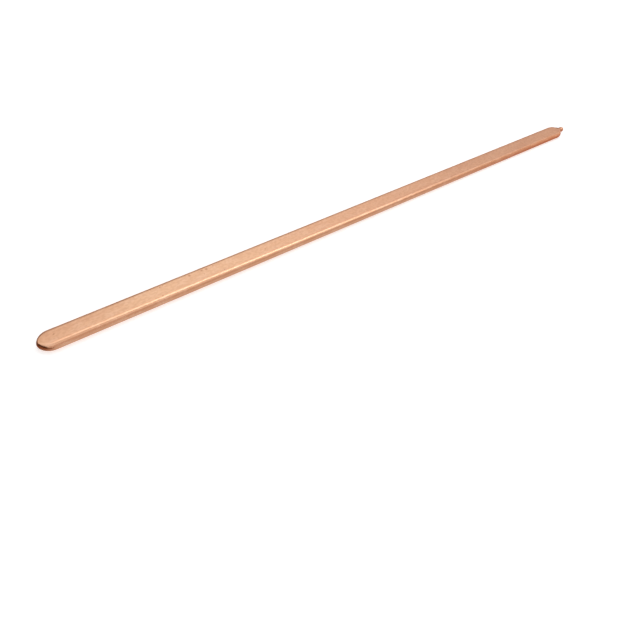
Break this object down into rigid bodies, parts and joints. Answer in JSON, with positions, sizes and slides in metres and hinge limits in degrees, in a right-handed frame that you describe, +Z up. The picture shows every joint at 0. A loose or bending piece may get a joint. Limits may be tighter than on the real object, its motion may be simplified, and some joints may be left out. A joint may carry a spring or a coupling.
{
  "type": "flat heat pipe",
  "caption": "Sealed copper heat pipe pressed flat along its length, with a domed closed end and a welded fill neck; carries heat from one end to the other.",
  "frame": {"origin": "under the middle of the pipe, in the plane of the lower land: the bottom centre of the bounding box", "axes": "+X along the pipe from the closed end to the fill end, +Y across it, +Z up from the lower land to the upper land"},
  "size_m": [0.35, 0.0102, 0.004],
  "materials": {
    "copper": "satin"
  },
  "bodies": {
    "root": {"flat_heat_pipe": "copper"}
  },
  "joints": []
}
